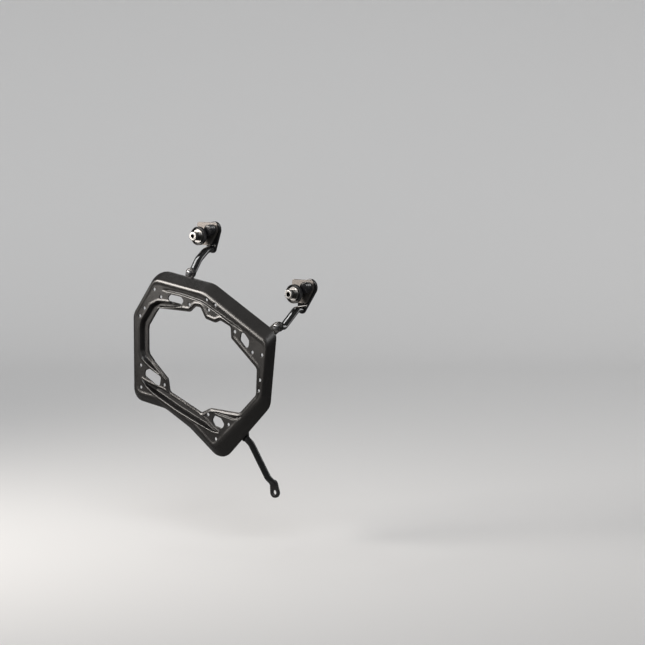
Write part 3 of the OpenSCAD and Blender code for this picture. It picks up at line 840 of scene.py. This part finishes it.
def makeArm(name):
    values = arms[name]
    foot = ringPlace(values["foot"])
    bolt = np.array(places[values["bolt"]], float)
    knob, head = bolt + places["knobFromBolt"], bolt + values["barAt"]
    (padY, footY), headFace = arms["padY"], places["headFace"]
    reach = np.array([head[0] - foot[0], headFace - footY])
    run, rise = np.linalg.norm(reach), head[1] - foot[1]
    along = reach / run
    start, across = np.array([foot[0], footY]), np.array([-along[1], along[0]])
    path = roundedPath([(-2.5, 0)] + [(u * run, v * rise, r) for u, v, r in values["bends"]]
                       + [(run + 2.0, rise)])
    path = resampled(path, 1.2, closed=False)
    side = sidewaysOf(path, closed=False)
    section = boxSection(arms["width"], arms["height"], arms["corner"])
    bar = sweep([[[*(start + along * (u + nu * h) + across * w), foot[1] + v + nv * h] for w, h in section]
                 for (u, v), (nu, nv) in zip(path, side)])
    bar[0][:, 1] = np.clip(bar[0][:, 1], padY + 0.3, -0.3)  # inside the pad and the head plate
    pad = ringOf([[arms["screwHole"], padY], [arms["padRadius"], padY], [arms["padRadius"], footY],
                  [arms["screwHole"], footY]], foot, 1.0)
    rims = [(*knob, arms["headRadius"]), (*bolt, arms["boltRadius"]), (*head, arms["barHead"])]
    holes = [circle(p, arms["boltHole"]) for p in (bolt, knob)]
    headPlate = plate(resampled(roundHull(rims, 4), 1.2), holes, headFace, 0, arms["headEdge"], 5)
    makeObject(name + "Arm", merged(bar, pad, headPlate), "glossBlack")


for name in ("rear", "front"):
    makeArm(name)
print("arms made")


# Foot screws and washers, and the strut's screw, washer and nut

screws = {"headRadius": 5.5, "headHigh": 3.2, "socket": 4.0, "socketDeep": 2.2, "radius": 3.0, "hole": 3.2,
          "washerRadius": 6.5, "washer": 1.6, "length": 14.0, "nut": 10.0, "nutHigh": 5.0,
          "strutEye": 5.0, "beyondNut": 3.0, "pitch": 1.0, "plain": 6.0}


def buttonScrew(centre, y, length, threadFrom):
    r, high, shank, rim = screws["headRadius"], screws["headHigh"], screws["radius"], screws["socket"] * 0.72
    dome = [[rim, y - high], [r * 0.6, y - high * 0.98]]
    dome += [[r * (0.6 + 0.4 * math.sin(t)), y - high * (0.1 + 0.88 * math.cos(t))]
             for t in np.linspace(0.25, math.pi / 2, 8)]
    dome += [[r, y - 0.15], [r - 0.15, y], [shank, y], [shank, threadFrom], [0, threadFrom]]
    face = socketFace(centre, rim, screws["socket"], y - high, screws["socketDeep"], 0.15)
    return merged(lathe(dome, centre), face, thread(centre, threadFrom, y + length, shank, screws["pitch"]))


def washerRing(centre, outer, bore, y0, y1):
    return ringOf([[bore, y0], [outer, y0], [outer, y1], [bore, y1]], centre, 0.35)


def makeLowerFasteners():
    v, skirtEdge = screws, places["skirtEdge"]
    feet, strutAt = [ringPlace("rearFoot"), ringPlace("frontFoot")], ringPlace("strutTop")
    under = skirtEdge - v["washer"]
    washerY = skirtEdge + lugs["thick"] + v["strutEye"]
    nutY = washerY + v["washer"]
    length = nutY + v["nutHigh"] + v["beyondNut"] - skirtEdge
    footScrews = [buttonScrew(f, under, v["length"], under + v["plain"]) for f in feet]
    footWashers = [washerRing(f, v["washerRadius"], v["hole"], under, skirtEdge) for f in feet]
    makeObject("footScrews", merged(*footScrews), "blackZinc")
    makeObject("footWashers", merged(*footWashers), "blackZinc")
    makeObject("strutScrew", buttonScrew(strutAt, skirtEdge, length, washerY - 1), "blackZinc", strutAt)
    washer = washerRing(strutAt, v["washerRadius"], v["hole"], washerY, nutY)
    makeObject("strutWasher", washer, "blackZinc", strutAt)
    makeObject("strutNut", hexNut(strutAt, v["nut"], v["radius"], nutY, nutY + v["nutHigh"]), "blackZinc")


makeLowerFasteners()
print("lower fasteners made")


# Upper fixings: bolt, collar, cup, sleeve, link, knob, stud, washer and nut

fixing = {
    "barrelRadius": 8.0, "barrel": 14.0, "socket": 8.0, "socketDeep": 7.0, "shank": 4.0, "free": 24.0,
    "collarRadius": 12.25, "collar": 3.0, "cupRadius": 17.0, "cupHigh": 6.5, "cupWall": 1.5, "cupFloor": 3.0,
    "sleeveRadius": 7.0, "sleeve": 16.0, "knobRadius": 10.0, "knob": 14.0, "ribs": 3, "groove": 1.6,
    "linkOutline": [(-20, -18, 4), (12, -18, 4), (28, 8, 4), (28, 24, 4), (-20, 24, 4)],
    "studIn": 9.0, "washer": 1.6, "washerRadius": 8.5, "nut": 13.0, "nutHigh": 6.5,
}


def knobProfile(y):  # from the axis at the outer end round the ribs to the inner end
    r, deep, pitch = fixing["knobRadius"], fixing["groove"], fixing["knob"] / fixing["ribs"]
    out = y - fixing["knob"]
    profile = [[0, out], [r * 0.45, out], [r - 1.9, out + 0.1], [r - 0.7, out + 1.0]]
    for k in range(fixing["ribs"]):
        top = out + k * pitch
        profile += [[r, top + 1.5], [r, top + pitch * 0.62], [r - deep, top + pitch * 0.8]]
        if k < fixing["ribs"] - 1:
            profile.append([r - deep, top + pitch * 1.02])
    profile += [[r - deep, y], [fixing["shank"], y], [fixing["shank"], y - fixing["studIn"]],
                [0, y - fixing["studIn"]]]
    return softCorners(profile, 0.8, 4)


def makeFixing(name):
    v = fixing
    bolt = np.array(places[name + "Bolt"], float)
    knob = bolt + places["knobFromBolt"]
    linkY, headFace = places["linkFace"], places["headFace"]
    sleeveY = linkY - v["sleeve"]
    cupY = sleeveY - v["cupFloor"]
    collarY = cupY - v["collar"]
    barrelY = collarY - v["barrel"]
    s, hole = v["shank"], v["shank"] + 0.2

    rim = v["socket"] * 0.68
    outside = softCorners([[rim, barrelY], [v["barrelRadius"], barrelY], [v["barrelRadius"], collarY],
                           [s, collarY], [s, -2], [s - 0.6, -1.6], [s - 0.6, 0.2], [0, 0.2]], 0.7)
    bolts = merged(lathe(outside, bolt), socketFace(bolt, rim, v["socket"], barrelY, v["socketDeep"]),
                   thread(bolt, 0.2, v["free"], s))
    makeObject(name + "Bolt", bolts, "nickel", bolt,
               (bolt, v["socket"] * 0.6, barrelY + 0.4, barrelY + v["socketDeep"] + 1))
    collar = washerRing(bolt, v["collarRadius"], hole, collarY, cupY)
    makeObject(name + "Collar", collar, "nickelSatin", bolt)
    r, w, top = v["cupRadius"], v["cupWall"], sleeveY - v["cupHigh"]
    cup = [[hole, cupY], [r - w, cupY], [r - w, top], [r, top], [r, sleeveY], [hole, sleeveY]]
    makeObject(name + "Cup", ringOf(cup, bolt, 0.65, 96), "rubberBlack")
    makeObject(name + "Sleeve", washerRing(bolt, v["sleeveRadius"], hole, sleeveY, linkY), "glossBlack")
    outline = rounded([(x + bolt[0], z + bolt[1], r) for x, z, r in v["linkOutline"]], 8)
    makeObject(name + "Link", plate(outline, [circle(bolt, hole), circle(knob, hole)], linkY, headFace, 0.5),
               "bareZinc", "brushed")
    makeObject(name + "Knob", lathe(knobProfile(linkY), knob), "knobBlack")
    studY, end = linkY - v["studIn"] + 0.3, v["washer"] + v["nutHigh"] + 3
    shank = lathe([[0, studY], [s, studY], [s, 1.0], [0, 1.0]], knob)
    makeObject(name + "Stud", merged(shank, thread(knob, 1.0, end, s)), "nickel", knob)
    return knob


def makeUpperNuts(knobs):
    v, washer = fixing, fixing["washer"]
    washers = [washerRing(k, v["washerRadius"], v["shank"] + 0.2, 0, washer) for k in knobs]
    nuts = [hexNut(k, v["nut"], v["shank"], washer, washer + v["nutHigh"]) for k in knobs]
    makeObject("studWashers", merged(*washers), "nickel")
    makeObject("studNuts", merged(*nuts), "nickel")


makeUpperNuts([makeFixing(name) for name in ("rear", "front")])
print("upper fixings made")


# Strut: round bar with forged flat ends

strut = {"radius": 6.0, "flat": 5.0, "eye": 10.0, "neck": 8.0, "neckAt": 15.0, "roundAt": 35.0,
         "topHole": 3.2, "footHole": 4.25, "inboard": 62.0, "edge": 0.9}


def forgedEnd(p, way):  # rows from the flat neck to the round bar
    flatWay = unit([way[0], 0, way[2]])
    a = p + flatWay * (strut["neckAt"] - 4)
    b = p + unit(way) * strut["roundAt"]
    steep = (strut["roundAt"] - strut["neckAt"]) * 1.1
    rows = []
    for t in np.linspace(0, 1, 22):
        h = [2 * t**3 - 3 * t**2 + 1, t**3 - 2 * t**2 + t, -2 * t**3 + 3 * t**2, t**3 - t**2]
        middle = h[0] * a + h[1] * flatWay * steep + h[2] * b + h[3] * unit(way) * steep
        k = smoothStep(t)
        along = unit(flatWay * (1 - k) + unit(way) * k)
        across = unit(np.cross([0, 1, 0], along))
        up = np.cross(along, across)
        wide = strut["neck"] * (1 - k) + strut["radius"] * k
        thick = strut["flat"] / 2 * (1 - k) + strut["radius"] * k
        power = 2 / (5 * (1 - k) + 2 * k)
        rows.append([middle + across * wide * math.copysign(abs(math.cos(q)) ** power, math.cos(q))
                     + up * thick * math.copysign(abs(math.sin(q)) ** power, math.sin(q))
                     for q in roundAngles(48)])
    return rows


def makeStrut():
    y = places["skirtEdge"] + lugs["thick"] + strut["flat"] / 2
    top, foot = ringPlace("strutTop"), ringPlace("strutFoot")
    a, b = np.array([top[0], y, top[1]]), np.array([foot[0], y + strut["inboard"], foot[1]])
    shapes = [sweep(forgedEnd(a, b - a)), sweep(forgedEnd(b, a - b))]
    way = unit(b - a)
    across = unit(np.cross([0, 1, 0], way))
    up = np.cross(way, across)
    turn = roundAngles(48)
    bar = (np.outer(np.cos(turn), across) + np.outer(np.sin(turn), up)) * strut["radius"]
    shapes.append(sweep([a + way * strut["roundAt"] + bar, b - way * strut["roundAt"] + bar]))
    half = strut["flat"] / 2
    for p, hole, toward in ((a, strut["topHole"], b - a), (b, strut["footHole"], a - b)):
        eye, flat = p[[0, 2]], unit([toward[0], toward[2]])
        outline = roundHull([(*eye, strut["eye"]), (*(eye + flat * strut["neckAt"]), strut["neck"])])
        shapes.append(plate(outline, [circle(eye, hole)], p[1] - half, p[1] + half, strut["edge"], 4))
    makeObject("strut", merged(*shapes), "glossBlack")


makeStrut()
print("strut made")


# Stage, lights and camera

view = {"place": (2.4567, -3.0953, 0.3636), "way": (-0.61167, 0.78412, -0.10496), "lens": 124.03}
stage = {"floorHeight": -0.46, "near": 5.0, "far": 2.6, "bend": 1.6, "wallHigh": 3.5, "wide": 14.0,
         "pale": 0.75, "inGloss": 0.1,  # how pale the sweep is, and where glossy pieces mirror it
         "ambient": 0.16, "beyond": 0.52}  # the world's own light, and its tone past the sweep


def makeStage():  # seamless sweep: floor, bend and wall, square to the camera
    away = unit(view["way"][:2])
    across = np.array([-away[1], away[0]])
    line = [(-stage["near"], 0.0), (stage["far"], 0.0)]
    line += [(stage["far"] + stage["bend"] * math.sin(t), stage["bend"] * (1 - math.cos(t)))
             for t in np.linspace(0, math.pi / 2, 40)[1:]]
    line.append((stage["far"] + stage["bend"], stage["bend"] + stage["wallHigh"]))
    verts = [(*(away * u + across * s * stage["wide"] / 2), stage["floorHeight"] + h)
             for u, h in line for s in (-1, 1)]
    faces = [(2 * i, 2 * i + 1, 2 * i + 3, 2 * i + 2) for i in range(len(line) - 1)]
    mesh = bpy.data.meshes.new("floor")
    mesh.from_pydata(verts, [], faces)
    mesh.shade_smooth()
    floor = newObject("floor", mesh)
    material = bpy.data.materials.new("paleFloor")
    material.use_nodes = True
    tree = material.node_tree
    tone = byRay(tree, "Is Glossy Ray", stage["pale"], stage["inGloss"])
    fill(tree, tree.nodes["Principled BSDF"],
         {"Base Color": tone, "Roughness": 0.9, "Specular IOR Level": 0.1})
    mesh.materials.append(material)
    world = bpy.data.worlds.new("studio")
    scene.world = world
    world.use_nodes = True
    tree = world.node_tree
    strength = byRay(tree, "Is Camera Ray", stage["ambient"], stage["beyond"])
    fill(tree, tree.nodes["Background"], {"Strength": strength, "Color": (0.985, 0.99, 1, 1)})


lamps = {
    "keySoftbox": {"kind": "AREA", "place": (-1.35, -1.5, 0.5), "size": 0.9, "power": 12.0,
                   "colour": (1.0, 0.94, 0.88), "spread": 90.0},  # degrees, as through a grid
    "rimSoftbox": {"kind": "AREA", "place": (-0.97, -0.05, 1.46), "size": 1.1, "high": 0.15, "power": 3.6},
    "backSoftbox": {"kind": "AREA", "place": (1.1, 2.4, 0.1), "size": 0.5, "high": 1.6, "power": 6.0},
    "highSun": {"kind": "SUN", "place": (0.5, -0.9, 1.0), "size": 0.7, "power": 1.4},
}


def makeLamps():
    target = Vector((-0.2, -0.08, -0.1))
    for name, values in lamps.items():
        light = bpy.data.lights.new(name, values["kind"])
        if values["kind"] == "SUN":
            light.angle = values["size"]
        else:
            light.shape = "RECTANGLE"
            light.size = values["size"]
            light.size_y = values.get("high", values["size"])
            light.spread = math.radians(values.get("spread", 180.0))
        light.energy = values["power"]
        light.color = values.get("colour", (1, 1, 1))
        newObject(name, light, values["place"], target - Vector(values["place"]))


def makeCamera():
    data = bpy.data.cameras.new("camera")
    data.lens = view["lens"]
    data.sensor_width = 36.0
    data.clip_end = 60
    scene.camera = newObject("camera", data, view["place"], Vector(view["way"]))


makeStage()
makeLamps()
makeCamera()
print("stage, lamps and camera set")
